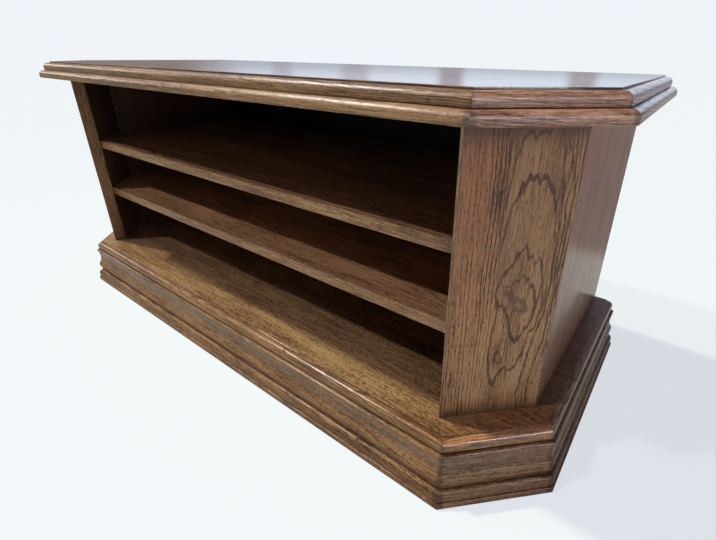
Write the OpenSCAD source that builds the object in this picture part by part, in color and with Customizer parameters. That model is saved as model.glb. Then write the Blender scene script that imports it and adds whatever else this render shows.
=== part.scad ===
// Low television cabinet in oak: canted front corners, three open bays, a
// two-tier moulded top and a moulded plinth. +X is the width, the front faces
// -Y, +Z is up. The origin is on the floor, at the middle of the whole outline.

/* [Carcass] */
// Width over the side panels
body_w = 1230; // [1000:1:1600]
// Depth from the front plane to the back of the panels
body_d = 492; // [400:1:600]
// Height of the side, cant and back panels
body_h = 416; // [380:1:520]
// Width of each canted corner, measured along the front
cant = 105; // [80:1:130]
// Thickness of the side and cant panels
panel_t = 18; // [16:0.5:22]
// Thickness of the back panel
back_t = 8; // [6:0.5:10]
// Thickness of the solid strip on the front end of each cant panel
jamb_lip_t = 3; // [2:0.5:5]

/* [Shelves] */
// Thickness of a shelf
shelf_t = 19; // [16:0.5:22]
// Clear height of the bottom bay
lower_bay_h = 125; // [100:1:140]
// Clear height of the middle bay
middle_bay_h = 103; // [80:1:120]
// Distance from the front plane back to the shelf edges
shelf_set = 28.5; // [24:0.5:45]
// Width of the solid strip on the front of a shelf
shelf_lip_w = 8; // [5:0.5:12]

/* [Top and base boards] */
// Thickness of the top board and of the base board
board_t = 18; // [16:0.5:22]
// How far both boards stand out in front of the carcass
front_lap = 35; // [30:0.5:45]
// How far both boards stand out beside the carcass
side_lap = 37; // [30:0.5:45]
// How far both boards stand out behind the carcass
back_lap = 2; // [0.5:0.5:10]
// Width of the boards' cut corners, measured along the front
board_cant = 115; // [108:1:130]
// Width of the solid nosing strips
lip_w = 12; // [10.5:0.5:16]
// Radius of the rounded nosing
nose_r = 9; // [6:0.5:10]
// Height that the board stands above its nosing
quirk_h = 2.5; // [1:0.5:4]
// Radius of the softened lower edges
foot_r = 1.5; // [0.5:0.5:3]

/* [Lower tier of the top] */
// Thickness of the board under the top board
subtop_t = 16; // [15:0.5:22]
// Height of the fine slit between its edge moulding and the top board
tier_gap = 0.5; // [0.2:0.1:3]
// How far the moulding stands out past the top board
mould_proud = 11; // [5:0.5:16]
// Distance from the top board's edge in to the back of the moulding
mould_in = 17; // [12:0.5:24]
// Radius of the moulding's shoulder
mould_r = 9; // [4:0.5:9]
// Radius under the moulding
mould_foot_r = 2.5; // [1:0.5:3]

/* [Plinth] */
// Height of the skirting
skirt_h = 92; // [84:1:120]
// Thickness of the skirting at its foot
skirt_t = 30; // [26:0.5:34]
// How far the skirting's foot stands out past the base board
skirt_proud = 16; // [14:0.5:20]
// Height of the foot band
band_h = 10; // [6:0.5:12]
// Radius on top of the foot band
band_r = 2.5; // [1:0.5:4]
// Height of the fine fillet over the foot band
fillet_h = 2; // [1:0.5:3]
// Depth of the fine fillet behind the bead
fillet_in = 0.8; // [0.4:0.1:1.5]
// Height of the upright part of the bead
bead_h = 7.5; // [5:0.5:10]
// How far the bead lies behind the foot band
bead_in = 2.5; // [1:0.5:4]
// Radius of the round on top of the bead
bead_r = 9; // [6:0.5:10]
// Height of the notch over the bead
notch_h = 4.5; // [3:0.5:6]
// How far the swell over the notch lies behind the foot band
swell_in = 7.5; // [5:0.5:8]
// Radius of the swell
swell_r = 14; // [11:0.5:16]
// Depth of the hollow between the swell and the lip
cove_sag = 2.4; // [1:0.1:3]
// How far the lip stands out past the base board
lip_proud = 4.8; // [3:0.1:6]
// Radius of the lip
lip_r = 3.3; // [2:0.1:4]
// Height of the shadow gap between the lip and the base board
gap_h = 2.4; // [1.5:0.1:4]
// Depth of the shadow gap from the lip's face
gap_d = 7.5; // [5:0.5:9]
// Thickness of the plinth's back rail
rail_t = 18; // [15:0.5:25]
// Thickness of the cross bearers
bearer_t = 22; // [18:1:30]
// Place of the outer bearers, as a share of the straight run of the front
bearer_share = 0.88; // [0.5:0.01:0.94]
// Side of the triangular glue blocks
block_side = 36; // [25:1:45]
// Height of the glue blocks
block_h = 76; // [50:1:84]

/* [Joinery] */
// Diameter of a dowel
dowel_d = 8; // [6:0.5:9]
// Length of a dowel
dowel_l = 30; // [24:1:32]
// Depth of a dowel in the face of a board
dowel_in = 12; // [10:0.5:13]
// How far the skirting's dowels stop inside the base board's edge
dowel_tip = 2; // [1.5:0.5:4]
// Play around a dowel, a tongue or a screw in its hole
joint_play = 0.1; // [0.05:0.05:0.2]
// Spare depth at the end of a hole or slot
end_play = 0.5; // [0.2:0.1:1]
// Thickness of the tongues and biscuits
tongue_t = 4; // [3:0.5:5]
// Width of a tongue in the upright mitres
tongue_w = 12; // [8:1:14]
// Width of a biscuit in the skirting mitres
biscuit_w = 20; // [14:1:24]
// Height of a biscuit
biscuit_h = 44; // [30:1:56]
// Play around the back panel in its rebates
back_play = 0.5; // [0.2:0.1:1]

/* [Screws] */
// Shank diameter of the long screws
screw_d = 4.5; // [3.5:0.5:5]
// Head diameter of the long screws
head_d = 9; // [7:0.5:10]
// Length of the screws between base board and carcass
base_screw_l = 48; // [40:1:60]
// Length of the screws between the two top boards
top_screw_l = 28; // [24:1:30]
// Shank diameter of the back panel's screws
pin_d = 3; // [2.5:0.5:4]
// Head diameter of the back panel's screws
pin_head_d = 6; // [5:0.5:7]
// Head height of the back panel's screws
pin_head_h = 1.6; // [1:0.1:2]
// Length of the back panel's screws under the head
pin_l = 20; // [16:1:26]

/* [Hidden] */
$fn = 32;

// Colours
oak = "#7d5a3e";
oak_edge = "#8d6a49";
oak_dark = "#5c4230";
deal = "#c9a978";
beech = "#d8b98a";
zinc = "#b9bcc0";

// Heights of the layers
base_z = skirt_h;
body_z = base_z + board_t;
lower_shelf_z = body_z + lower_bay_h;
upper_shelf_z = lower_shelf_z + shelf_t + middle_bay_h;
subtop_z = body_z + body_h;
top_z = subtop_z + subtop_t;
mould_h = subtop_t - tier_gap;

// Places in plan, with the carcass front at y = 0
half_w = body_w / 2;
board_half = half_w + side_lap;
board_back = body_d + back_lap;
front_y = -front_lap - skirt_proud;
carcass_y = -(front_y + board_back) / 2;
inner_half = half_w - panel_t;
jamb_x = half_w - cant;
jamb_d = panel_t * sqrt(2);
knee_y = cant + panel_t * tan(22.5);
rebate = panel_t / 2;
back_y = body_d - back_t;
skirt_in = skirt_proud - skirt_t;
rail_y = board_back - rail_t;

// Extra length on a moulding before its ends are cut
over = 60;
// Steps in a rounded stretch of a moulding, large or small
arc_steps = 8;
small_steps = 4;
// Smallest cut past a face
eps = 0.01;

// Points of a round stretch about centre c
function arc(c, r, from, to, steps = arc_steps) =
    [for (i = [0:steps]) let (a = from + (to - from) * i / steps) [c.x + r * cos(a), c.y + r * sin(a)]];

// Board outline moved out by d, from the back left corner round to the back right
function chain(d) =
    let (hw = board_half + d, fy = -front_lap - d, leg = board_cant + d * (2 - sqrt(2)))
    [[-hw, board_back], [-hw, fy + leg], [leg - hw, fy], [hw - leg, fy], [hw, fy + leg], [hw, board_back]];

// Mitred plan of the strip on edge i between two offsets of the outline
function strip(i, inner, outer) =
    [chain(outer)[i], chain(outer)[i + 1], chain(inner)[i + 1], chain(inner)[i]];

// Plan of the space inside the carcass, from the jambs to the back panel
room = [[-jamb_x, 0], [jamb_x, 0], [jamb_x, jamb_d], [inner_half, knee_y], [inner_half, back_y],
        [-inner_half, back_y], [-inner_half, knee_y], [-jamb_x, jamb_d]];

// The outer bearers stand clear of the glue blocks on the front
front_run = chain(skirt_in)[3].x - block_side;
bearer_x = bearer_share * front_run;

// Section of the nosing strip, out from the board's edge and up
nose_section = concat(
    [[-lip_w, 0]],
    arc([-foot_r, foot_r], foot_r, -90, 0, small_steps),
    arc([-nose_r, board_t - quirk_h - nose_r], nose_r, 0, 90),
    [[-lip_w, board_t - quirk_h]]
);

// Section of the lower tier's moulding
mould_section = concat(
    [[-mould_in, 0]],
    arc([mould_proud - mould_foot_r, mould_foot_r], mould_foot_r, -90, 0, small_steps),
    arc([mould_proud - mould_r, mould_h - mould_r], mould_r, 0, 90),
    [[-mould_in, mould_h]]
);

// Section of the skirting, upwards: foot band, fillet, bead, notch, swell, cove, lip and gap
bead_out = skirt_proud - bead_in;
bead_z = band_h + fillet_h;
bead_top = bead_z + bead_h + bead_r;
notch_out = bead_out - bead_r;
notch_z = bead_top + notch_h;
swell_low = 50;
swell_high = 46;
swell_c = [skirt_proud - swell_in - swell_r, notch_z + swell_r * sin(swell_low)];
swell_end = swell_c + swell_r * [cos(swell_high), sin(swell_high)];
lip_low = 58;
lip_c = [lip_proud - lip_r, skirt_h - gap_h - lip_r];
lip_start = lip_c + lip_r * [cos(lip_low), -sin(lip_low)];
gap_out = lip_proud - gap_d;
// The cove is an arc through both ends with the given sag
cove_chord = norm(lip_start - swell_end);
cove_dir = (lip_start - swell_end) / cove_chord;
cove_r = (cove_chord * cove_chord / 4 + cove_sag * cove_sag) / (2 * cove_sag);
cove_c = (swell_end + lip_start) / 2 + (cove_r - cove_sag) * [cove_dir.y, -cove_dir.x];
cove_half = asin(cove_chord / 2 / cove_r);
cove_mid = atan2(cove_dir.x, -cove_dir.y);
skirt_section = concat(
    [[skirt_in, 0]],
    arc([skirt_proud - foot_r, foot_r], foot_r, -90, 0, small_steps),
    arc([skirt_proud - band_r, band_h - band_r], band_r, 0, 90, small_steps),
    [[bead_out - fillet_in, band_h], [bead_out - fillet_in, bead_z], [bead_out, bead_z]],
    arc([notch_out, bead_top - bead_r], bead_r, 0, 90),
    [[notch_out, notch_z]],
    arc(swell_c, swell_r, -swell_low, swell_high),
    arc(cove_c, cove_r, cove_mid + cove_half, cove_mid - cove_half),
    arc(lip_c, lip_r, -lip_low, 90),
    [[gap_out, skirt_h - gap_h], [gap_out, skirt_h], [skirt_in, skirt_h]]
);

// Everything is drawn about the carcass and then centred on the floor
module placed() {
    translate([0, carcass_y, 0]) children();
}

module both_sides() {
    children();
    mirror([1, 0, 0]) children();
}

module on_side(side) {
    mirror([side < 0 ? 1 : 0, 0, 0]) children();
}

module plate(points, z, h) {
    translate([0, 0, z]) linear_extrude(h) polygon(points);
}

// A moulding of the given section along edge i, mitred at both ends
module edging(i, z, section, inner, outer, h) {
    ends = [chain(0)[i], chain(0)[i + 1]];
    along = (ends[1] - ends[0]) / norm(ends[1] - ends[0]);
    from = ends[1] + over * along;
    intersection() {
        plate(strip(i, inner, outer), z, h);
        translate([from.x, from.y, z])
            rotate([90, 0, atan2(-along.x, along.y)])
                linear_extrude(norm(ends[1] - ends[0]) + 2 * over) polygon(section);
    }
}

// A level board that fills the carcass between two depths
module room_plate(z, h, from, to) {
    intersection() {
        plate(room, z, h);
        translate([-inner_half, from, z]) cube([2 * inner_half, to - from, h]);
    }
}

// Point in the middle of the right cant panel's thickness, s along it from its centre
cant_normal = [1, -1] / sqrt(2);
function cant_middle(s) =
    [half_w - cant / 2, cant / 2] - panel_t / 2 * cant_normal + s * [1, 1] / sqrt(2);

// Places of the fixings along the side panels, as shares of their depth
fixing_shares = [0.18, 0.5, 0.82];
shelf_dowel_shares = [0.15, 0.5, 0.85];
function side_y(share) = cant + share * (back_y - cant);

// Upright fixings in the ends of the right-hand panels
panel_fixings = concat(
    [for (f = fixing_shares) [half_w - panel_t / 2, side_y(f)]],
    [for (s = [-cant / 4, cant / 4]) cant_middle(s)]
);

// Dowel along +Z from a face, sunk to the given depth, or the hole for it
module dowel(depth, play, spare) {
    translate([0, 0, -depth - spare]) cylinder(h = dowel_l + 2 * spare, d = dowel_d + 2 * play);
}

// Countersunk screw standing on its head, or the hole for it
module screw(l, play, spare) {
    cylinder(h = l + spare, d = screw_d + 2 * play);
    cylinder(h = (head_d - screw_d) / 2, d1 = head_d + 2 * play, d2 = screw_d + 2 * play);
}

// Screws up through the base board into the panels
module base_screw_set(play = 0, spare = 0) {
    both_sides() for (p = panel_fixings)
        translate([p.x, p.y, base_z]) screw(base_screw_l, play, spare);
}

// Screws that pull the top board down on the board below it
top_screw_x = [for (share = [-0.72, 0, 0.72]) share * inner_half];
top_screw_y = [for (share = [0.25, 0.85]) share * body_d];
module top_screw_set(play = 0, spare = 0) {
    for (x = top_screw_x, y = top_screw_y)
        translate([x, y, subtop_z]) screw(top_screw_l, play, spare);
}

// Upright dowels between the panels and the board over them
module top_dowel_set(play = 0, spare = 0) {
    both_sides() for (p = panel_fixings)
        translate([p.x, p.y, subtop_z]) mirror([0, 0, 1]) dowel(dowel_in, play, spare);
}

// Level dowels that carry one shelf: three in each side panel, one in each cant panel
module shelf_dowel_set(z, play = 0, spare = 0) {
    cant_face = cant_middle(0) - panel_t / 2 * cant_normal;
    both_sides() {
        for (f = shelf_dowel_shares)
            translate([inner_half, side_y(f), z + shelf_t / 2])
                rotate([0, -90, 0]) dowel(dowel_in, play, spare);
        translate([cant_face.x, cant_face.y, z + shelf_t / 2])
            rotate([0, 90, 135]) dowel(dowel_in, play, spare);
    }
}

// Level dowels at both ends of the bearers
bearer_dowel_z = [for (share = [0.3, 0.7]) share * skirt_h];
module bearer_dowel_set(play = 0, spare = 0) {
    for (x = [-bearer_x, 0, bearer_x], z = bearer_dowel_z) {
        translate([x, -front_lap + dowel_tip, z]) rotate([-90, 0, 0]) dowel(0, play, spare);
        translate([x, rail_y, z]) rotate([90, 0, 0]) dowel(dowel_in, play, spare);
    }
}

// Tongues across the upright mitres between cant and side panels
tongue_share = 0.55;
tongue_at = [half_w - tongue_share * panel_t, cant + tongue_share * panel_t * tan(22.5)];
module tongue_set(play = 0, spare = 0) {
    past = spare > 0 ? eps : 0;
    both_sides()
        translate([tongue_at.x, tongue_at.y, body_z - past])
            rotate([0, 0, 67.5])
                translate([-tongue_w / 2 - spare, -tongue_t / 2 - play, 0])
                    cube([tongue_w + 2 * spare, tongue_t + 2 * play, body_h + 2 * past]);
}

// Biscuits across the skirting mitres, at both ends of both cants
biscuit_out = (skirt_in + notch_out) / 2;
module biscuit_set(play = 0, spare = 0) {
    both_sides() for (j = [3, 4])
        translate([chain(biscuit_out)[j].x, chain(biscuit_out)[j].y, (skirt_h - biscuit_h) / 2 - spare])
            rotate([0, 0, j == 3 ? 22.5 : 67.5])
                translate([-biscuit_w / 2 - spare, -tongue_t / 2 - play, 0])
                    cube([biscuit_w + 2 * spare, tongue_t + 2 * play, biscuit_h + 2 * spare]);
}

// Screws through the back panel into the side panels and the shelves
pin_side_z = [for (share = [0.08, 0.36, 0.64, 0.92]) body_z + share * body_h];
pin_shelf_x = [for (share = [-0.6, 0, 0.6]) share * inner_half];
pin_places = concat(
    [for (s = [-1, 1], z = pin_side_z) [s * (inner_half + rebate / 2), z]],
    [for (x = pin_shelf_x, z = [lower_shelf_z, upper_shelf_z]) [x, z + shelf_t / 2]]
);
module pin_set(play = 0, spare = 0) {
    for (p = pin_places)
        translate([p.x, body_d, p.y]) rotate([90, 0, 0]) {
            cylinder(h = pin_l + spare, d = pin_d + 2 * play);
            mirror([0, 0, 1]) cylinder(h = pin_head_h, d = pin_head_d);
        }
}

// Holes that the dowels, screws and tongues need in the upright panels
module panel_holes() {
    tongue_set(joint_play, end_play);
    base_screw_set(joint_play, end_play);
    top_dowel_set(joint_play, end_play);
    shelf_dowel_set(lower_shelf_z, joint_play, end_play);
    shelf_dowel_set(upper_shelf_z, joint_play, end_play);
    pin_set(joint_play, end_play);
}

// Sub-parts
module top_board() {
    color(oak) placed() difference() {
        plate(chain(-lip_w), top_z, board_t);
        top_screw_set(joint_play, end_play);
    }
}

module top_lipping(i) {
    color(oak_edge) placed() edging(i, top_z, nose_section, -lip_w, eps, board_t);
}

module subtop_board() {
    color(oak) placed() difference() {
        plate(chain(-mould_in), subtop_z, subtop_t);
        top_screw_set(joint_play, end_play);
        top_dowel_set(joint_play, end_play);
    }
}

module top_moulding(i) {
    color(oak_edge) placed() edging(i, subtop_z, mould_section, -mould_in, mould_proud + eps, mould_h);
}

module side_panel(side) {
    color(oak) placed() difference() {
        on_side(side)
            plate([[half_w, cant], [half_w, body_d], [half_w - rebate, body_d], [half_w - rebate, back_y],
                   [inner_half, back_y], [inner_half, knee_y]], body_z, body_h);
        panel_holes();
    }
}

module cant_panel(side) {
    color(oak) placed() difference() {
        on_side(side)
            plate([[jamb_x + jamb_lip_t, jamb_lip_t], [half_w, cant], [inner_half, knee_y],
                   [jamb_x + jamb_lip_t, jamb_d + jamb_lip_t]], body_z, body_h);
        panel_holes();
    }
}

module jamb_lipping(side) {
    color(oak_edge) placed() on_side(side)
        plate([[jamb_x, 0], [jamb_x + jamb_lip_t, jamb_lip_t],
               [jamb_x + jamb_lip_t, jamb_d + jamb_lip_t], [jamb_x, jamb_d]], body_z, body_h);
}

module back_panel() {
    half = half_w - rebate - back_play;
    color(oak_dark) placed() difference() {
        translate([-half, back_y, body_z]) cube([2 * half, back_t, body_h]);
        pin_set(joint_play, end_play);
    }
}

module shelf(z) {
    color(oak) placed() difference() {
        room_plate(z, shelf_t, shelf_set + shelf_lip_w, back_y);
        shelf_dowel_set(z, joint_play, end_play);
        pin_set(joint_play, end_play);
    }
}

module shelf_lipping(z) {
    color(oak_edge) placed() room_plate(z, shelf_t, shelf_set, shelf_set + shelf_lip_w);
}

module base_board() {
    color(oak) placed() difference() {
        plate(chain(-lip_w), base_z, board_t);
        base_screw_set(joint_play, end_play);
    }
}

module base_lipping(i) {
    color(oak_edge) placed() edging(i, base_z, nose_section, -lip_w, eps, board_t);
}

module skirting(i) {
    color(oak) placed() difference() {
        edging(i, 0, skirt_section, skirt_in, skirt_proud + eps, skirt_h);
        biscuit_set(joint_play, end_play);
        bearer_dowel_set(joint_play, end_play);
    }
}

module plinth_back_rail() {
    half = board_half + skirt_in;
    color(deal) placed() difference() {
        translate([-half, rail_y, 0]) cube([2 * half, rail_t, skirt_h]);
        bearer_dowel_set(joint_play, end_play);
    }
}

module bearer(x) {
    from = -front_lap - skirt_in;
    color(deal) placed() difference() {
        translate([x - bearer_t / 2, from, 0]) cube([bearer_t, rail_y - from, skirt_h]);
        bearer_dowel_set(joint_play, end_play);
    }
}

// Triangular blocks in the six corners of the plinth, tight under the base board
module glue_blocks() {
    corners = [chain(skirt_in)[3], chain(skirt_in)[4], [board_half + skirt_in, rail_y]];
    ways = [[[-1, 0], [1, 1] / sqrt(2)], [[-1, -1] / sqrt(2), [0, 1]], [[0, -1], [-1, 0]]];
    color(deal) placed() both_sides() for (k = [0:2])
        plate([corners[k], corners[k] + block_side * ways[k][0], corners[k] + block_side * ways[k][1]],
              skirt_h - block_h, block_h);
}

module skirting_biscuits() {
    color(beech) placed() biscuit_set();
}

module bearer_dowels() {
    color(beech) placed() bearer_dowel_set();
}

module panel_tongues() {
    color(beech) placed() tongue_set();
}

module shelf_dowels(z) {
    color(beech) placed() shelf_dowel_set(z);
}

module top_dowels() {
    color(beech) placed() top_dowel_set();
}

module base_screws() {
    color(zinc) placed() base_screw_set();
}

module top_screws() {
    color(zinc) placed() top_screw_set();
}

module back_panel_screws() {
    color(zinc) placed() pin_set();
}

top_board();
top_lipping(0);  // top_lipping_side_left
top_lipping(1);  // top_lipping_cant_left
top_lipping(2);  // top_lipping_front
top_lipping(3);  // top_lipping_cant_right
top_lipping(4);  // top_lipping_side_right
subtop_board();
top_moulding(0);  // top_moulding_side_left
top_moulding(1);  // top_moulding_cant_left
top_moulding(2);  // top_moulding_front
top_moulding(3);  // top_moulding_cant_right
top_moulding(4);  // top_moulding_side_right
side_panel(-1);  // side_panel_left
side_panel(1);  // side_panel_right
cant_panel(-1);  // cant_panel_left
cant_panel(1);  // cant_panel_right
jamb_lipping(-1);  // jamb_lipping_left
jamb_lipping(1);  // jamb_lipping_right
back_panel();
shelf(upper_shelf_z);  // upper_shelf
shelf_lipping(upper_shelf_z);  // upper_shelf_lipping
shelf(lower_shelf_z);  // lower_shelf
shelf_lipping(lower_shelf_z);  // lower_shelf_lipping
base_board();
base_lipping(0);  // base_lipping_side_left
base_lipping(1);  // base_lipping_cant_left
base_lipping(2);  // base_lipping_front
base_lipping(3);  // base_lipping_cant_right
base_lipping(4);  // base_lipping_side_right
skirting(0);  // skirting_side_left
skirting(1);  // skirting_cant_left
skirting(2);  // skirting_front
skirting(3);  // skirting_cant_right
skirting(4);  // skirting_side_right
plinth_back_rail();
bearer(-bearer_x);  // bearer_left
bearer(0);  // bearer_middle
bearer(bearer_x);  // bearer_right
glue_blocks();
skirting_biscuits();
bearer_dowels();
panel_tongues();
shelf_dowels(upper_shelf_z);  // upper_shelf_dowels
shelf_dowels(lower_shelf_z);  // lower_shelf_dowels
top_dowels();
base_screws();
top_screws();
back_panel_screws();
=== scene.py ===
import math

import bmesh
import bpy
from bpy.props import FloatProperty, FloatVectorProperty, PointerProperty
from mathutils import Matrix, Vector, noise


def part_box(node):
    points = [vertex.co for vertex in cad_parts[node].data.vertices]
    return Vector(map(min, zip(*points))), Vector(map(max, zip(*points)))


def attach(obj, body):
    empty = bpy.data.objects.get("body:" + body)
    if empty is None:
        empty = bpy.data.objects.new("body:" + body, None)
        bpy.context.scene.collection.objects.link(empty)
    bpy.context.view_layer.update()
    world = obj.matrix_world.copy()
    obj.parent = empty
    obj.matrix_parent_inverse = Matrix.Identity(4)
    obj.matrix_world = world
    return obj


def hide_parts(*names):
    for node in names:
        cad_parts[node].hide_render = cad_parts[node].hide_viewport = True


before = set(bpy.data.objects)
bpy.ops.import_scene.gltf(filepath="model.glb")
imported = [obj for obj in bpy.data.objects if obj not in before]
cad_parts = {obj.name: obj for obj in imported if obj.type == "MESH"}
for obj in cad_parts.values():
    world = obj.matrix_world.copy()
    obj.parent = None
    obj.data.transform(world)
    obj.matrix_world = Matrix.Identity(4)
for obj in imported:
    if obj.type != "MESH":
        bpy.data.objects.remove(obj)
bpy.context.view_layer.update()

bl_info = {
    "name": "Low Oak Television Cabinet",
    "version": (1, 0, 0),
    "blender": (4, 5, 0),
    "location": "3D View > Sidebar > Cabinet",
    "description": "Builds the visible pieces and finishes of a low oak television cabinet",
    "category": "Add Mesh",
}


def low(node):
    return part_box(node)[0]


def high(node):
    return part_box(node)[1]


# The cabinet's lines, in metres, as the solids give them
BOARD_HALF = high("base_lipping_side_right").x
BOARD_FRONT = low("base_lipping_front").y
BOARD_BACK = high("base_board").y
BOARD_CANT = BOARD_HALF - high("base_lipping_front").x
BASE_Z = low("base_board").z
BODY_Z = high("base_board").z
SUBTOP_Z = low("subtop_board").z
TOP_Z = low("top_board").z
HALF_W = high("side_panel_right").x
PANEL_T = high("side_panel_right").x - low("side_panel_right").x
PANEL_BACK = high("side_panel_right").y
CARCASS_FRONT = low("jamb_lipping_right").y
JAMB_X = low("jamb_lipping_right").x
CANT = HALF_W - JAMB_X
CANT_DEPTH = PANEL_T * math.sqrt(2)
INNER = HALF_W - PANEL_T
KNEE = CARCASS_FRONT + CANT + PANEL_T * math.tan(math.radians(22.5))

MM_PER_M = 1000.0
SENSOR_MM = 36.0
ROOT_HALF = math.sqrt(0.5)


# Sizes and looks that a user would change

class CabinetSizes(bpy.types.PropertyGroup):
    lip_width: FloatProperty(
        name="Nosing Width", description="Width of the solid strip round the top and base boards",
        default=high("top_lipping_side_right").x - low("top_lipping_side_right").x, subtype="DISTANCE")
    nose_height: FloatProperty(
        name="Nosing Height", description="Height of the nosing strip",
        default=high("top_lipping_front").z - TOP_Z, subtype="DISTANCE")
    nose_radius: FloatProperty(
        name="Nosing Radius", description="Radius of the rounded nosing", default=0.009, subtype="DISTANCE")
    foot_radius: FloatProperty(
        name="Lower Edge Radius", description="Radius of the softened lower edges", default=0.0015,
        subtype="DISTANCE")
    mould_in: FloatProperty(
        name="Moulding Back", description="Distance from the top board's edge in to the moulding's back",
        default=0.017, subtype="DISTANCE")
    mould_height: FloatProperty(
        name="Moulding Height", description="Height of the lower tier's moulding",
        default=high("top_moulding_front").z - SUBTOP_Z, subtype="DISTANCE")
    mould_proud: FloatProperty(
        name="Moulding Projection", description="How far the lower tier stands out past the top board",
        default=high("top_moulding_side_right").x - BOARD_HALF, subtype="DISTANCE")
    mould_radius: FloatProperty(
        name="Moulding Radius", description="Radius of the lower tier's shoulder", default=0.009,
        subtype="DISTANCE")
    skirt_in: FloatProperty(
        name="Skirting Back", description="Distance from the base board's edge in to the skirting's back",
        default=0.014, subtype="DISTANCE")
    skirt_proud: FloatProperty(
        name="Skirting Projection", description="How far the skirting's foot stands out past the base board",
        default=high("skirting_side_right").x - BOARD_HALF, subtype="DISTANCE")
    arris: FloatProperty(
        name="Arris", description="Width of the eased edges on the boards", default=0.0011,
        subtype="DISTANCE")
    jamb_arris: FloatProperty(
        name="Jamb Arris", description="Width of the eased edge on the jamb strips", default=0.0011,
        subtype="DISTANCE")
    screw_head: FloatProperty(
        name="Screw Head", description="Diameter of the long screws' countersunk heads", default=0.009,
        subtype="DISTANCE")
    screw_shank: FloatProperty(
        name="Screw Shank", description="Diameter of the long screws", default=0.0045, subtype="DISTANCE")
    pan_head: FloatProperty(
        name="Back Screw Head", description="Diameter of the back panel's pan heads", default=0.006,
        subtype="DISTANCE")
    pan_height: FloatProperty(
        name="Back Screw Head Height", description="Height of the back panel's pan heads", default=0.0016,
        subtype="DISTANCE")
    pan_shank: FloatProperty(
        name="Back Screw Shank", description="Diameter of the back panel's screws", default=0.003,
        subtype="DISTANCE")
    recess: FloatProperty(
        name="Screw Recess", description="Width of the cross recess as a share of the head", default=0.5,
        min=0.2, max=0.8, subtype="FACTOR")


class OakFinish(bpy.types.PropertyGroup):
    pore: FloatVectorProperty(
        name="Pores", description="Stain gathered in the open pores", default=(0.036, 0.015, 0.011),
        size=3, subtype="COLOR", min=0, max=1)
    dark: FloatVectorProperty(
        name="Dark Wood", description="Stained early wood", default=(0.078, 0.035, 0.021),
        size=3, subtype="COLOR", min=0, max=1)
    mid: FloatVectorProperty(
        name="Middle Wood", description="Average of the stained oak", default=(0.157, 0.077, 0.04),
        size=3, subtype="COLOR", min=0, max=1)
    light: FloatVectorProperty(
        name="Light Wood", description="Stained late wood", default=(0.235, 0.131, 0.07),
        size=3, subtype="COLOR", min=0, max=1)
    pale: FloatVectorProperty(
        name="Pale Wood", description="The lightest fibres", default=(0.33, 0.2, 0.115),
        size=3, subtype="COLOR", min=0, max=1)
    ring: FloatProperty(
        name="Ring Width", description="Distance between the growth rings, in millimetres", default=3.6,
        min=0.5, max=12)
    gloss: FloatProperty(
        name="Lacquer Roughness", description="Roughness of the lacquer", default=0.13, min=0, max=1)
    coat: FloatProperty(
        name="Lacquer Weight", description="Strength of the lacquer layer", default=0.6, min=0, max=1)


class StudioSetup(bpy.types.PropertyGroup):
    camera_at: FloatVectorProperty(
        name="Camera", description="Place of the camera", default=(0.7123, -0.6189, 0.5874), size=3,
        subtype="TRANSLATION")
    camera_look: FloatVectorProperty(
        name="View", description="Direction in which the camera looks", default=(-0.5312, 0.7421, -0.4088),
        size=3, subtype="DIRECTION")
    camera_right: FloatVectorProperty(
        name="Right", description="Direction of the picture's right side", default=(0.8096, 0.5868, 0.0133),
        size=3, subtype="DIRECTION")
    lens: FloatProperty(
        name="Lens", description="Focal length in millimetres on a 36 mm sensor", default=20.93)
    shift: FloatVectorProperty(
        name="Shift", description="Lens shift as shares of the picture's width", default=(-0.0508, -0.0423),
        size=2)
    key: FloatProperty(name="Key Light", description="Strength of the warm key light", default=3.2)
    second: FloatProperty(name="Second Light", description="Strength of the second sun", default=1.2)
    ambient: FloatProperty(name="Ambient", description="Strength of the even light", default=0.05)
    floor: FloatVectorProperty(
        name="Floor", description="Colour of the pale floor", default=(0.845, 0.89, 0.955), size=3,
        subtype="COLOR", min=0, max=1)
    background: FloatVectorProperty(
        name="Background", description="Colour of the pale backdrop", default=(0.87, 0.895, 0.93), size=3,
        subtype="COLOR", min=0, max=1)


# Node trees written as expressions

class Tap:
    """An output socket. Arithmetic on it adds Math nodes."""

    def __init__(self, nodes, socket):
        self.nodes = nodes
        self.socket = socket

    def math(self, operation, *others):
        return self.nodes.add("ShaderNodeMath", {"operation": operation}, [self, *others])

    def __add__(self, other):
        return self.math("ADD", other)

    __radd__ = __add__

    def __mul__(self, other):
        return self.math("MULTIPLY", other)

    __rmul__ = __mul__

    def __sub__(self, other):
        return self.math("SUBTRACT", other)

    def __rsub__(self, other):
        return self.nodes.add("ShaderNodeMath", {"operation": "SUBTRACT"}, [other, self])

    def __truediv__(self, other):
        return self.math("DIVIDE", other)

    def __rtruediv__(self, other):
        return self.nodes.add("ShaderNodeMath", {"operation": "DIVIDE"}, [other, self])

    def abs(self):
        return self.math("ABSOLUTE")

    def sqrt(self):
        return self.math("SQRT")

    def fract(self):
        return self.math("FRACT")

    def clamp(self):
        return self.nodes.add("ShaderNodeClamp", {}, [self, 0.0, 1.0])


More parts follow.
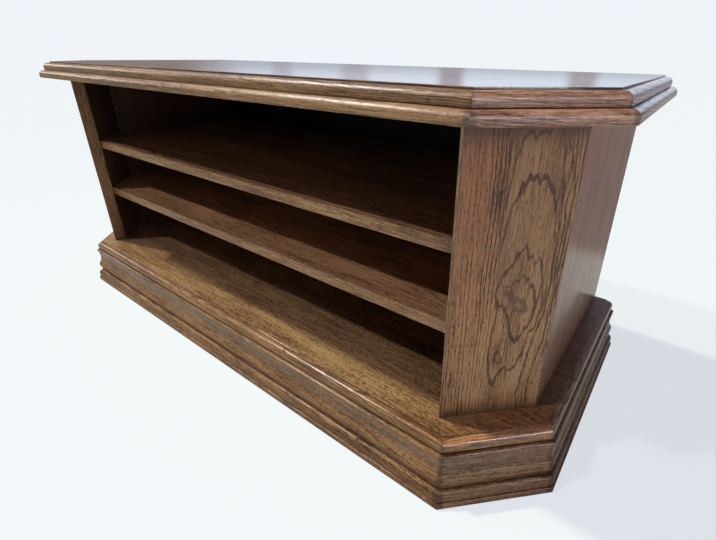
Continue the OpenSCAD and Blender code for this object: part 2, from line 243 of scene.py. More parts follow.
class Nodes:
    """A node tree. One method adds any node, with its settings first and what feeds it next."""

    def __init__(self, tree):
        self.tree = tree
        tree.nodes.clear()

    def add(self, kind, settings=None, values=(), out=0):
        node = self.tree.nodes.new(kind)
        for key, value in (settings or {}).items():
            if key == "stops":
                self.set_stops(node.color_ramp, value)
            else:
                setattr(node, key, value)
        for key, value in values.items() if isinstance(values, dict) else enumerate(values):
            if isinstance(value, Tap):
                self.tree.links.new(value.socket, node.inputs[key])
            else:
                node.inputs[key].default_value = value
        return Tap(self, node.outputs[out]) if node.outputs else node

    @staticmethod
    def set_stops(ramp, stops):
        while len(ramp.elements) < len(stops):
            ramp.elements.new(1.0)
        for element, (place, colour) in zip(ramp.elements, stops):
            element.position = place
            element.color = (*colour, 1.0)

    def mix(self, a, b, share, **settings):
        """The colour a, turned into b as far as share goes."""
        a = a if isinstance(a, Tap) else (*a, 1.0)
        b = b if isinstance(b, Tap) else (*b, 1.0)
        return self.add("ShaderNodeMix", {"data_type": "RGBA", **settings}, {0: share, 6: a, 7: b}, out=2)

    def tint(self, colour, stain_and_shade, share):
        """The colour multiplied by another colour, as far as share goes: tones of the wood, and the base
        board's painted shade.
        """
        return self.mix(colour, stain_and_shade, share, blend_type="MULTIPLY")

    def smooth(self, value, start, end):
        return self.add("ShaderNodeMapRange", {"interpolation_type": "SMOOTHSTEP"},
                        [value, start, end, 0.0, 1.0])

    def joined(self, x, y, z):
        return self.add("ShaderNodeCombineXYZ", {}, [x, y, z])

    def split(self, vector):
        node = self.add("ShaderNodeSeparateXYZ", {}, [vector]).socket.node
        return [Tap(self, socket) for socket in node.outputs]

    def noise(self, x, y, z, detail=2.0, rough=0.5):
        """Noise about 0, near -0.5 to 0.5."""
        return self.add("ShaderNodeTexNoise", {}, {"Vector": self.joined(x, y, z), "Scale": 1.0,
                                                   "Detail": detail, "Roughness": rough}) - 0.5

    def marks(self, place, along, across, shift=(0.0, 0.0, 0.0), detail=2.0, rough=0.5):
        """Noise in marks so many millimetres long and wide; shift moves it, in marks."""
        scaled = [value / size for value, size in zip(place, (along, across, across))]
        moved = [value + step if step else value for value, step in zip(scaled, shift)]
        return self.noise(*moved, detail, rough)

    def shows_to(self, kind):
        """1 for rays of that kind and 0 for all others."""
        return self.add("ShaderNodeLightPath", out=f"Is {kind} Ray")

    def principled(self, values):
        """A principled surface as the material's output."""
        self.add("ShaderNodeOutputMaterial", {}, [self.add("ShaderNodeBsdfPrincipled", {}, values)])


# Wood and other finishes

def grain_frame(along, across):
    """Turn of a frame whose x runs along the grain and whose y runs across it."""
    x, y = Vector(along).normalized(), Vector(across).normalized()
    return Matrix((x, y, x.cross(y))).transposed().to_euler()


# Each edge's direction, and the grain along it and upright in a board that stands on it
ALONG = {"side_left": (0, 1), "cant_left": (ROOT_HALF, -ROOT_HALF), "front": (1, 0),
         "cant_right": (ROOT_HALF, ROOT_HALF), "side_right": (0, 1)}
GRAIN = {edge: grain_frame((x, y, 0), (-y, x, 0)) for edge, (x, y) in ALONG.items()}
UPRIGHT = {edge: grain_frame((0, 0, 1), (x, y, 0)) for edge, (x, y) in ALONG.items()}
# Where the grain of the wide flat boards is centred, from front to back
GRAIN_Y = 0.05
# Millimetres over which the painted shade sets in on inside faces and the dark sets in at mitres, and the
# share of the dark at mitres and of the darkening at risers
INNER_FADE, MITRE_FADE = 3.0, 5.0
MITRE_STAIN, RISER_DARKENING = 0.6, 0.85
# Painted shade: a darker, redder tone over the base board's right end, under the cant
RUDDY_SHADE = (0.82, 0.63, 0.52)


def new_material(name):
    material = bpy.data.materials.new(name)
    material.use_nodes = True
    return material, Nodes(material.node_tree)


def local_mm(nodes, turn, centre=(0.0, 0.0, 0.0)):
    """Object coordinates in millimetres in a piece's own grain frame, seen from its centre."""
    place = nodes.add("ShaderNodeTexCoord", out="Object")
    return nodes.split(nodes.add("ShaderNodeMapping", {"vector_type": "TEXTURE"},
                                 [place, Vector(centre), turn, (1 / MM_PER_M,) * 3]))


def plain_rings(nodes, place, heart, taper, ring):
    """Count of growth rings from a heart beside the board, with the grain's slow wander."""
    x, y, z = place
    wander = nodes.marks(place, 260.0, 55.0)
    ripple = nodes.marks(place, 48.0, 9.0)
    dy, dz = y - heart[0], z - heart[1]
    reach = (dy * dy + dz * dz).sqrt()
    return (reach + x * taper + wander * 22.0 + ripple * 3.2) / ring


def ring_band(nodes, rings, x, seed, width=0.6):
    """Open-pored early wood at the start of each ring, stronger in some years than in others."""
    phase = rings.fract()
    force = (nodes.noise(rings * 0.41, x / 800.0, seed, detail=1.0) * 3.0 + 0.5).clamp()
    return nodes.smooth(phase, 0.0, 0.06) * (1.0 - nodes.smooth(phase, 0.12, width)) * force


def oak_wood(nodes, band, place, look, level=1.0, seed=0.0, bold=1.0, fleck=0.0):
    """Colour and open pores of stained oak; band is the share of early wood, fleck adds short dashes."""
    dash = nodes.marks(place, 6.5, 0.5, (seed, 0, 0), detail=1.0)
    speck = nodes.marks(place, 11.0, 1.0, (0, -seed, 0), detail=1.0)
    streak = nodes.marks(place, 44.0, 1.25, (0, seed, 0), rough=0.65)
    patch = nodes.marks(place, 190.0, 34.0, (0, 0, seed), detail=1.0)
    pores = nodes.smooth(dash + band * 0.14, 0.06, 0.17)
    ticks = nodes.smooth(speck + band * 0.1, 0.04, 0.17)
    band = band * (streak * 3.0 + 0.9).clamp()
    tone = streak * 2.1 + patch * 0.8 - band * 0.42 - ticks * 0.26 - pores * 0.14 + 0.29
    if fleck:
        tone = tone + nodes.marks(place, 6.5, 2.2, (0, seed, 0), rough=0.7) * fleck
    stops = [(0.0, look.pore), (0.24, look.dark), (0.52, look.mid), (0.76, look.light), (1.0, look.pale)]
    level = (level,) * 3 if isinstance(level, float) else level
    stops = [(at, tuple(min(1.0, c * k) for c, k in zip(colour, level))) for at, colour in stops]
    wood = nodes.add("ShaderNodeValToRGB", {"stops": stops}, [tone * bold + 0.5])
    return wood, (pores + ticks * 0.4 + band * 0.4).clamp()


def finish_oak(nodes, wood, pores, look, gloss=None, coat=None, worn=0.4):
    """Lacquered wood: the pores stay open under the lacquer and break its gloss."""
    coat = look.coat if coat is None else coat
    dent = nodes.add("ShaderNodeBump", {"invert": True},
                     {"Strength": 0.25, "Distance": 0.0004, "Height": pores})
    nodes.principled({
        "Base Color": wood,
        "Roughness": 0.38 + pores * 0.2,
        "Specular IOR Level": 0.25,
        "Coat Weight": (1.0 - pores * worn) * coat,
        "Coat Roughness": look.gloss if gloss is None else gloss,
        "Normal": dent,
    })


def oak_material(name, look, turn, centre, heart, taper, seed, level=1.0, ring=None, gloss=None, coat=None,
                 bold=1.0, fleck=0.0, worn=0.4, inner_shade=None, ruddy=None, riser=None, ends=None, dull=None):
    """Oak of one board, in millimetres from its centre.

    level is its brightness, bold its contrast, fleck its short dashes, and worn how far the pores thin
    the lacquer. inner is the depth, share and colour of the painted shade on the inside face, ruddy where
    along the board a darker, redder tone sets in as painted shade, riser the heights of an edge that is
    painted darker, ends the half length up to dark mitres, and dull the heights between which the lacquer
    is thin at the foot and full above.
    """
    material, nodes = new_material(name)
    place = local_mm(nodes, turn, centre)
    x, _, z = place
    band = ring_band(nodes, plain_rings(nodes, place, heart, taper, ring or look.ring), x, seed)
    wood, pores = oak_wood(nodes, band, place, look, level, seed, bold, fleck)
    # Painted shade: the inside face is darkened towards the given colour
    if inner_shade:
        depth, share, stain_and_shade = inner_shade
        wood = nodes.mix(wood, stain_and_shade, nodes.smooth(z.abs(), depth, depth + INNER_FADE) * share)
    # Painted shade: a darker, redder tone sets in along the board
    if ruddy:
        wood = nodes.tint(wood, RUDDY_SHADE, nodes.smooth(x, *ruddy))
    # The riser, the board's edge above its nosing, is painted darker
    if riser:
        foot, head = riser
        above, below = nodes.smooth(z, foot, foot + 0.5), 1.0 - nodes.smooth(z, head - 1.0, head - 0.6)
        wood = nodes.mix(wood, look.pore, above * below * RISER_DARKENING)
    if ends:
        wood = nodes.mix(wood, look.pore, nodes.smooth(x.abs(), ends - MITRE_FADE, ends) * MITRE_STAIN)
    if dull:
        coat = nodes.smooth(z, *dull) * 0.55 + 0.15
    finish_oak(nodes, wood, pores, look, gloss, coat, worn)
    return material


# The flat-cut veneer's dark lines, drawn as strokes of points with the millimetres across and up
# from the jamb's foot, and half the line's width
FIGURE_LINES = (
    ((57, 280, 0.5), (60, 315, 0.6), (64, 350, 0.7), (68, 380, 0.8), (72, 396, 1.4), (80, 404, 2.0),
     (88, 398, 2.2), (96, 406, 2.0), (103, 400, 1.2)),
    ((115, 408, 0.8), (122, 380, 0.9), (128, 333, 0.8), (132, 305, 0.5)),
    ((123, 400, 0.6), (133, 375, 0.8), (140, 350, 0.7), (146, 320, 0.5)),
    ((56, 232, 0.4), (60, 259, 0.6), (65, 283, 0.8), (69, 316, 1.0), (75, 333, 1.8), (79, 345, 3.4),
     (86, 351, 4.2), (95, 348, 4.4), (104, 351, 4.0), (112, 346, 3.0), (117, 334, 1.8), (121, 324, 1.5),
     (125, 308, 1.2), (127, 294, 0.5)),
    ((62, 210, 0.8), (68, 222, 1.2), (72, 234, 1.5), (80, 243, 1.5), (87, 258, 2.0), (95, 265, 1.8),
     (100, 253, 1.6), (110, 243, 1.6), (116, 249, 1.9), (119, 236, 1.4), (121, 226, 1.0), (123, 203, 0.8),
     (122, 184, 0.5)),
    ((62, 198, 1.3), (72, 186, 1.5), (82, 169, 1.6), (87, 149, 1.6), (92, 133, 2.0), (98, 124, 2.6),
     (108, 138, 1.8), (117, 159, 1.9), (119, 183, 2.4), (114, 203, 2.0), (106, 216, 1.4), (99, 223, 1.6),
     (90, 218, 1.6), (82, 214, 1.6), (74, 212, 1.1), (65, 213, 1.1), (62, 198, 1.3)),
    ((62, 198, 1.0), (68, 183, 0.8), (65, 150, 1.0), (63, 100, 1.1), (67, 73, 1.4), (74, 51, 2.4),
     (79, 69, 1.6), (86, 82, 1.6), (92, 77, 1.8), (98, 76, 2.0), (104, 83, 1.7), (112, 103, 1.3),
     (115, 129, 1.1), (125, 152, 1.1), (129, 183, 1.2), (125, 210, 0.8), (122, 230, 0.5)),
    ((72, 98, 1.2), (76, 109, 1.4), (82, 104, 1.2), (83, 92, 1.0), (78, 86, 1.0), (73, 90, 1.1),
     (72, 98, 1.2)),
    ((128, 289, 0.5), (133, 256, 0.9), (135, 216, 1.1), (132, 163, 1.1), (125, 133, 1.1), (120, 99, 1.1),
     (117, 66, 1.0), (114, 33, 0.9), (117, 3, 0.8)),
    ((138, 240, 0.5), (142, 190, 0.9), (139, 120, 1.0), (132, 83, 0.9), (127, 45, 0.8), (128, 10, 0.6)),
)
FIGURE = {
    "figure_lines": FIGURE_LINES,
    "figure_knot": (((76, 204, 5.0), (83, 199, 7.5), (90, 191, 8.5), (96, 182, 10.5), (103, 176, 8.5)),),
    "figure_core": (((92, 187, 0.8), (96, 183, 1.6), (99, 178, 1.6)),),
}
FAR_FROM_FIGURE = 50.0
# The figure's middle across the panel and its rings' width in millimetres, and the grid's steps in metres
FIGURE_MIDDLE, FIGURE_RING = 96.0, 5.2
FIGURE_COLUMN, FIGURE_ROW = 0.001, 0.003


def stroke_gap(strokes, across, up):
    """Distance in millimetres from the nearest stroke's edge; negative within it."""
    least = FAR_FROM_FIGURE
    for stroke in strokes:
        for (ax, ay, aw), (bx, by, bw) in zip(stroke, stroke[1:]):
            dx, dy = bx - ax, by - ay
            share = min(1.0, max(0.0, ((across - ax) * dx + (up - ay) * dy) / (dx * dx + dy * dy)))
            gap = math.hypot(across - ax - share * dx, up - ay - share * dy) - aw - share * (bw - aw)
            least = min(least, gap)
    return least


def grid_outer_face(mesh, corner, along, outward):
    """Cuts the mesh's outer face into a fine grid."""
    made = bmesh.new()
    made.from_mesh(mesh)
    face = max((f for f in made.faces if f.normal.dot(outward) > 0.99), key=lambda f: f.calc_area())
    places = [v.co.copy() for v in face.verts]
    level = [e for e in face.edges if abs(e.verts[0].co.z - e.verts[1].co.z) < 1e-5]
    upright = [e for e in face.edges if e not in level]
    columns = round(level[0].calc_length() / FIGURE_COLUMN)
    rows = round(upright[0].calc_length() / FIGURE_ROW)
    bmesh.ops.delete(made, geom=[face], context="FACES_ONLY")
    bmesh.ops.subdivide_edges(made, edges=level, cuts=columns - 1)
    bmesh.ops.subdivide_edges(made, edges=upright, cuts=rows - 1)
    start = min(places, key=lambda p: (p - corner).dot(along) + p.z)
    end = max(places, key=lambda p: (p - corner).dot(along) + p.z)
    width, height = (end - start).dot(along), end.z - start.z
    grid = [[made.verts.new(start + along * (width * i / columns) + Vector((0, 0, height * j / rows)))
             for i in range(columns + 1)] for j in range(rows + 1)]
    for lower, upper in zip(grid, grid[1:]):
        for i in range(columns):
            made.faces.new((lower[i], lower[i + 1], upper[i + 1], upper[i]))
    bmesh.ops.remove_doubles(made, verts=made.verts, dist=2e-5)
    made.to_mesh(mesh)
    made.free()


def figured_panel(mesh, corner, along):
    """Writes on the panel's points how far they lie from the veneer's drawn lines, knot and core."""
    outward = Vector((along.y, -along.x, 0.0))
    grid_outer_face(mesh, corner, along, outward)
    soften(mesh, 20.0)
    layers = [mesh.attributes.new(name, "FLOAT", "POINT") for name in FIGURE]
    for vertex, *values in zip(mesh.vertices, *(layer.data for layer in layers)):
        place = vertex.co - corner
        across, up = place.dot(along) * MM_PER_M, place.z * MM_PER_M
        if abs(place.dot(outward)) < 0.001:
            flame = noise.noise(Vector((across / 4.6, up / 40.0, 4.0))) * 9.0
            sway = noise.noise(Vector((across / 20.0, up / 11.0, 7.0))) * 1.6
            gaps = [stroke_gap(strokes, across + sway, up + flame) for strokes in FIGURE.values()]
        else:
            gaps = [FAR_FROM_FIGURE] * len(layers)
        for value, gap in zip(values, gaps):
            value.value = gap


# Colours of the figured panel: stains of the early wood, knot and drawn lines, and painted shade at the
# foot, on the jamb side at the top, and along the top under the moulding
FIGURE_STAINS_AND_SHADES = {
    "early": (0.06, 0.026, 0.021),
    "knot": (0.105, 0.048, 0.04),
    "lines": (0.048, 0.016, 0.011),
    "foot": (0.07, 0.028, 0.014),
    "corner": (0.062, 0.028, 0.032),
    "top": (0.05, 0.022, 0.018),
}


def figured_oak(name, look, turn, centre):
    """Flat-cut veneer: drawn arches over a closed eye with a knot in it, straight grain at the sides."""
    material, nodes = new_material(name)
    place = local_mm(nodes, turn, centre)
    x, y, _ = place
    lines, knot, core = (nodes.add("ShaderNodeAttribute", {"attribute_name": layer}, out=2)
                         for layer in FIGURE)
    wave = nodes.noise(x / 95.0, y / 40.0, 8.0, detail=1.0)
    shake = nodes.noise(x / 16.0, y / 6.0, 3.0, detail=1.0)
    over = (y - FIGURE_MIDDLE + wave * 16.0).abs()
    sides = nodes.smooth(over, 28.0, 40.0)
    band = ring_band(nodes, over / FIGURE_RING + wave * 1.5 + shake * 0.35, x, 5.0, 0.42) * sides
    wood, pores = oak_wood(nodes, band, place, look, (1.44, 1.33, 1.26), 5.0, sides * 0.6 + 1.25, 0.6)
    wood = nodes.mix(wood, FIGURE_STAINS_AND_SHADES["early"], band * (shake * 3.0 + 0.7).clamp() * 0.8)
    ruddy = (1.0 - nodes.smooth(y, 30.0, 75.0)) * (nodes.smooth(x, 40.0, 330.0) * 0.8 + 0.2)
    wood = nodes.tint(wood, (1.02, 0.84, 0.8), ruddy)
    wood = nodes.tint(wood, (0.72, 0.66, 0.66), nodes.smooth(x, 60.0, 400.0))
    grain = nodes.noise(x / 9.0, y / 1.5, 2.0, detail=1.0)
    ink = (1.0 - nodes.smooth(lines + grain * 1.2, -0.7, 1.3)) * (grain * 2.2 + 0.95).clamp()
    stain_and_shade = (1.0 - nodes.smooth(knot + grain * 4.0, -4.0, 1.5)) * (nodes.smooth(core, -1.0, 2.4) * 0.8 + 0.2)
    # The knot and lines are stains of the veneer; foot, corner and top are painted shade at the bottom edge,
    # the jamb side at the top, and under the overhanging moulding
    for stain_and_shade_name, share in (("knot", stain_and_shade * 0.7),
                           ("lines", (ink * 0.9).clamp()),
                           ("foot", (1.0 - nodes.smooth(x, 2.0, 28.0)) * 0.5),
                           ("corner", nodes.smooth(x - y * 0.7, 330.0, 400.0) * 0.35),
                           ("top", nodes.smooth(x, 380.0, 414.0) * 0.8)):
        wood = nodes.mix(wood, FIGURE_STAINS_AND_SHADES[stain_and_shade_name], share)
    finish_oak(nodes, wood, pores, look, coat=0.3)
    return material


def bare_wood(name, colour, dark, roughness, turn, streak=0.6):
    """Bare softwood or beech: pale, with soft streaks along the grain."""
    material, nodes = new_material(name)
    place = local_mm(nodes, turn)
    soft = nodes.marks(place, 120.0, 6.0, detail=3.0)
    fine = nodes.marks(place, 18.0, 0.8)
    wood = nodes.mix(colour, dark, (0.4 + soft * streak * 2.0 + fine * streak).clamp())
    nodes.principled({"Base Color": wood, "Roughness": roughness + fine * 0.1})
    return material


def zinc_material():
    material, nodes = new_material("zinc_plating")
    cloud = nodes.marks(local_mm(nodes, GRAIN["front"]), 1.5, 1.5, detail=3.0)
    bright = nodes.mix((0.5, 0.51, 0.54), (0.72, 0.73, 0.76), (0.5 + cloud).clamp())
    nodes.principled({"Base Color": bright, "Metallic": 1.0, "Roughness": 0.32 + cloud * 0.2})
    return material


# Meshes

def outline(d):
    """The board's outline moved out by d, from the back left corner round to the back right."""
    half, front = BOARD_HALF + d, BOARD_FRONT - d
    leg = BOARD_CANT + d * (2 - math.sqrt(2))
    return [Vector(p) for p in ((-half, BOARD_BACK, 0), (-half, front + leg, 0), (leg - half, front, 0),
                                (half - leg, front, 0), (half, front + leg, 0), (half, BOARD_BACK, 0))]


def arc(cx, cz, radius, start, end, steps=12):
    turns = [math.radians(start + (end - start) * i / steps) for i in range(steps + 1)]
    return [(cx + radius * math.cos(a), cz + radius * math.sin(a)) for a in turns]


def nosing_section(s):
    return [(-s.lip_width, 0.0),
            *arc(-s.foot_radius, s.foot_radius, s.foot_radius, -90, 0, 5),
            *arc(-s.nose_radius, s.nose_height - s.nose_radius, s.nose_radius, 0, 90),
            (-s.lip_width, s.nose_height)]


def moulding_section(s):
    foot = 0.0025
    return [(-s.mould_in, 0.0),
            *arc(s.mould_proud - foot, foot, foot, -90, 0, 6),
            *arc(s.mould_proud - s.mould_radius, s.mould_height - s.mould_radius, s.mould_radius, 0, 90),
            (-s.mould_in, s.mould_height)]


def skirting_section(s):
    """Foot band, fillet, bead, notch, swell, cove, lip and shadow gap, in millimetres from the floor."""
    inside, proud, top = -s.skirt_in * MM_PER_M, s.skirt_proud * MM_PER_M, BASE_Z * MM_PER_M
    foot_r, band_r, band_top = 1.5, 2.5, 10.0
    fillet_in, fillet_top = 0.8, 12.0
    bead_out, bead_top, bead_r = proud - 2.5, 28.5, 9.0
    swell_in, swell_r, notch_z = 7.5, 14.0, 33.0
    swell_z = notch_z + swell_r * math.sin(math.radians(50))
    swell = arc(proud - swell_in - swell_r, swell_z, swell_r, -50, 46, 18)
    lip_r, lip_proud, gap_h, gap_d = 3.3, 4.8, 2.4, 7.5
    lip = arc(lip_proud - lip_r, top - gap_h - lip_r, lip_r, -58, 90, 14)
    start, end = Vector(swell[-1]), Vector(lip[0])
    chord, sag = (end - start).length, 2.4
    way = (end - start) / chord
    reach = (chord * chord / 4 + sag * sag) / (2 * sag)
    centre = (start + end) / 2 + (reach - sag) * Vector((way.y, -way.x))
    half = math.degrees(math.asin(chord / 2 / reach))
    middle = math.degrees(math.atan2(way.x, -way.y))
    cove = arc(centre.x, centre.y, reach, middle + half, middle - half, 16)
    points = [(inside, 0.0),
              *arc(proud - foot_r, foot_r, foot_r, -90, 0, 4),
              *arc(proud - band_r, band_top - band_r, band_r, 0, 90, 6),
              (bead_out - fillet_in, band_top), (bead_out - fillet_in, fillet_top), (bead_out, fillet_top),
              *arc(bead_out - bead_r, bead_top - bead_r, bead_r, 0, 90),
              (bead_out - bead_r, notch_z),
              *swell, *cove[1:-1], *lip,
              (lip_proud - gap_d, top - gap_h), (lip_proud - gap_d, top), (inside, top)]
    return [(a / MM_PER_M, b / MM_PER_M) for a, b in points]


def section_face(name, section):
    """One face in the XZ plane that looks along Y: x is how far out, z is up."""
    mesh = bpy.data.meshes.new(name)
    mesh.from_pydata([(x, 0.0, z) for x, z in section], [], [list(range(len(section)))[::-1]])
    mesh.update()
    return mesh


def geometry_nodes(name, output, inputs):
    """A new geometry tree: its nodes, and what comes into it by name."""
    tree = bpy.data.node_groups.new(name, "GeometryNodeTree")
    for label, kind in inputs.items():
        tree.interface.new_socket(label, in_out="INPUT", socket_type=f"NodeSocket{kind}")
    tree.interface.new_socket(output, in_out="OUTPUT", socket_type="NodeSocketGeometry")
    nodes = Nodes(tree)
    inside = nodes.add("NodeGroupInput").socket.node
    return nodes, {socket.name: Tap(nodes, socket) for socket in inside.outputs}


def end_tree(nodes, geometry, material):
    """Ends a geometry tree with real meshes in their material."""
    real = nodes.add("GeometryNodeRealizeInstances", {}, [geometry])
    done = nodes.add("GeometryNodeSetMaterial", {}, {"Geometry": real, "Material": material})
    nodes.add("NodeGroupOutput", {}, [done])
    return nodes.tree


def moulding_tree():
    """Runs a section face from one mitred end to the other."""
    nodes, given = geometry_nodes("mitred_moulding", "Moulding", {
        "Section": "Geometry", "Start": "Vector", "End": "Vector", "Start Mitre": "Vector",
        "End Mitre": "Vector", "Height": "Float", "Wood": "Material"})
    run = nodes.add("GeometryNodeExtrudeMesh", {"mode": "FACES"},
                    {"Mesh": given["Section"], "Offset Scale": 1.0, "Individual": False})
    near_end = nodes.add("GeometryNodeFlipFaces", {}, [given["Section"]])
    closed = nodes.add("GeometryNodeJoinGeometry", {}, [run])
    nodes.tree.links.new(near_end.socket, closed.socket.node.inputs[0])
    weld = nodes.add("GeometryNodeMergeByDistance", {}, {"Geometry": closed, "Distance": 1e-6})
    x, y, z = nodes.split(nodes.add("GeometryNodeInputPosition"))
    corner, mitre = (
        nodes.add("ShaderNodeMix", {"data_type": "VECTOR"}, {0: y, 4: given[a], 5: given[b]}, out=1)
        for a, b in (("Start", "End"), ("Start Mitre", "End Mitre")))
    out = nodes.add("ShaderNodeVectorMath", {"operation": "MULTIPLY_ADD"}, [mitre, x, corner])
    up = nodes.joined(0.0, 0.0, z + given["Height"])
    moved = nodes.add("GeometryNodeSetPosition", {}, {
        "Geometry": weld, "Position": nodes.add("ShaderNodeVectorMath", {}, [out, up])})
    return end_tree(nodes, moved, given["Wood"])


def screw_tree():
    """Sets a screw on each point, turned to its aim, with the recess at a turn of its own."""
    nodes, given = geometry_nodes("set_screws", "Screws", {
        "Places": "Geometry", "Screw": "Object", "Plating": "Material", "Seed": "Int"})
    screw = nodes.add("GeometryNodeObjectInfo", {}, {"Object": given["Screw"]}, out="Geometry")
    aim = nodes.add("GeometryNodeInputNamedAttribute", {"data_type": "FLOAT_VECTOR"}, {"Name": "aim"})
    upright = nodes.add("FunctionNodeAlignRotationToVector", {"axis": "Z"}, {"Vector": aim})
    # Input 3 and output 1 are those of a random float
    chance = nodes.add("FunctionNodeRandomValue", {}, {3: math.pi / 2, "Seed": given["Seed"]}, out=1)
    spin = nodes.add("FunctionNodeAxisAngleToRotation", {}, {"Angle": chance})
    turn = nodes.add("FunctionNodeRotateRotation", {"rotation_space": "LOCAL"}, [upright, spin])
    screws = nodes.add("GeometryNodeInstanceOnPoints", {}, {
        "Points": given["Places"], "Instance": screw, "Rotation": turn})
    return end_tree(nodes, screws, given["Plating"])


def set_input(modifier, name, value):
    for item in modifier.node_group.interface.items_tree:
        if item.item_type == "SOCKET" and item.in_out == "INPUT" and item.name == name:
            modifier[item.identifier] = value
            return
    raise RuntimeError(f"the tree has no input named {name}")


def placed(name, data):
    holder = bpy.data.objects.new(name, data)
    bpy.context.scene.collection.objects.link(holder)
    return holder


def run_tree(source, tree, inputs, name):
    """The mesh that a geometry tree makes of an object, which is then removed."""
    modifier = source.modifiers.new(tree.name, "NODES")
    modifier.node_group = tree
    for label, value in inputs.items():
        set_input(modifier, label, value)
    mesh = bpy.data.meshes.new_from_object(source.evaluated_get(bpy.context.evaluated_depsgraph_get()))
    mesh.name = name
    bpy.data.objects.remove(source)
    return mesh


def mesh_of(made, name):
    mesh = bpy.data.meshes.new(name)
    made.to_mesh(mesh)
    made.free()
    return mesh


def soften(mesh, angle=28.0):
    """Turns the faces outwards and leaves only true corners sharp."""
    made = bmesh.new()
    made.from_mesh(mesh)
    bmesh.ops.recalc_face_normals(made, faces=made.faces)
    made.to_mesh(mesh)
    made.free()
    mesh.shade_smooth()
    mesh.set_sharp_from_angle(angle=math.radians(angle))
    return mesh


def dress(mesh, material):
    mesh.materials.clear()
    mesh.materials.append(material)


def show(name, mesh, material, slot, *nodes):
    """Puts a finished mesh in place of the CAD nodes that it stands for."""
    piece = placed(name, mesh)
    if material is not None:
        dress(mesh, material)
    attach(piece, "root")
    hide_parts(*nodes)


def run_mouldings(label, section, height, woods, nodes):
    """Five mitred lengths round the front: one object for each, in its own wood."""
    tree = bpy.data.node_groups.get("mitred_moulding") or moulding_tree()
    ends, moved = outline(0.0), outline(1.0)
    ways = [b - a for a, b in zip(ends, moved)]
    for i, edge in enumerate(ALONG):
        mesh = run_tree(placed(label, section_face(label, section)), tree, {
            "Start": ends[i], "End": ends[i + 1], "Start Mitre": ways[i], "End Mitre": ways[i + 1],
            "Height": height, "Wood": woods[edge]}, f"{label}_{edge}")
        show(f"{label}_{edge}", soften(mesh), None, "oak_moulding", f"{nodes}_{edge}")


def board(points, bottom, top, arris):
    """A flat board of any outline with eased edges."""
    made = bmesh.new()
    face = made.faces.new([made.verts.new((p[0], p[1], bottom)) for p in points])
    grown = bmesh.ops.extrude_face_region(made, geom=[face])
    for item in grown["geom"]:
        if isinstance(item, bmesh.types.BMVert):
            item.co.z = top
    bmesh.ops.recalc_face_normals(made, faces=made.faces)
    bmesh.ops.bevel(made, geom=list(made.edges), offset=arris, segments=2, profile=0.5,
                    affect="EDGES", clamp_overlap=True)
    return soften(mesh_of(made, "board"), 20.0)


def mirrored(points, side):
    return [(side * x, y) for x, y in points]


def screw_places(node):
    """Lowest and highest corner of each screw in a CAD node."""
    made = bmesh.new()
    made.from_mesh(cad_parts[node].data)
    bmesh.ops.remove_doubles(made, verts=made.verts, dist=1e-5)
    left, places = set(made.verts), []
    while left:
        island = [left.pop()]
        for vertex in island:
            near = {edge.other_vert(vertex) for edge in vertex.link_edges} & left
            left -= near
            island.extend(near)
        places.append([Vector(pick(v.co[i] for v in island) for i in range(3)) for pick in (min, max)])
    made.free()
    return sorted(places, key=lambda box: tuple(round(c, 4) for c in box[0]))


def screw_mesh(profile, recess):
    """A screw that stands on its head: a turned profile, and a cross recess in the head's flat."""
    made, sides, tapered = bmesh.new(), 24, 0.6
    turns = [math.tau * i / sides for i in range(sides)]
    rings = [[made.verts.new((r * math.cos(a), r * math.sin(a), z)) for a in turns] for r, z in profile]
    for low_ring, high_ring in zip(rings, rings[1:]):
        for i in range(len(turns)):
            made.faces.new((low_ring[i - 1], low_ring[i], high_ring[i], high_ring[i - 1]))
    made.faces.new(rings[-1])
    arm, web = recess / 2, recess * 0.13
    cross = [(web, arm), (-web, arm), (-web, web), (-arm, web), (-arm, -web), (-web, -web),
             (-web, -arm), (web, -arm), (web, -web), (arm, -web), (arm, web), (web, web)]
    rim = [made.verts.new((x, y, profile[0][1])) for x, y in cross]
    floor = [made.verts.new((x * tapered, y * tapered, profile[0][1] + arm)) for x, y in cross]
    for i in range(len(cross)):
        made.faces.new((rim[i - 1], rim[i], floor[i], floor[i - 1]))
    made.faces.new(floor)
    loops = [made.edges.get((loop[i - 1], loop[i])) for loop in (rings[0], rim) for i in range(len(loop))]
    bmesh.ops.triangle_fill(made, edges=loops, use_beauty=True)
    return soften(mesh_of(made, "screw"), 30.0)


def threaded(shank, start, length):
    """Profile of the threaded length and the point, from the head's underside on."""
    pitch, point, root = shank * 0.42, shank * 1.4, 0.72
    turns = int((length - start - point) / pitch)
    thread = [(shank / 2 * (1.0 if i % 2 else root), start + pitch * i / 2) for i in range(1, 2 * turns)]
    return [(shank / 2, start), *thread, (shank * 0.36, length - point), (shank * 0.04, length)]


# Woods of the mitred lengths, by edge where they differ from the rest of the ring; the right cant's
# nosings and upper tier are painted brighter, the upper ones also bluer, as light and sheen from the right

TOP_EDGES = {"level": {"cant_right": (1.6, 1.45, 1.85), "front": (1.0, 0.96, 0.88)},
             "gloss": {"front": 0.34, "cant_right": 0.34, "cant_left": 0.34}}
EDGE_LOOKS = {
    "nosing_top": TOP_EDGES,
    "tier": TOP_EDGES,
    "nosing_base": {"level": {"front": (0.98, 0.87, 0.68), "cant_right": (1.55, 1.3, 1.15)},
                    "gloss": {"front": 0.23}},
    "plinth": {"level": {"front": (0.86, 0.8, 0.72), "cant_right": (0.97, 0.9, 0.86)},
               "gloss": {}, "fleck": 1.8, "dull": (45.0, 70.0)},
}
EDGE_GLOSS, EDGE_FLECK = 0.14, 1.1


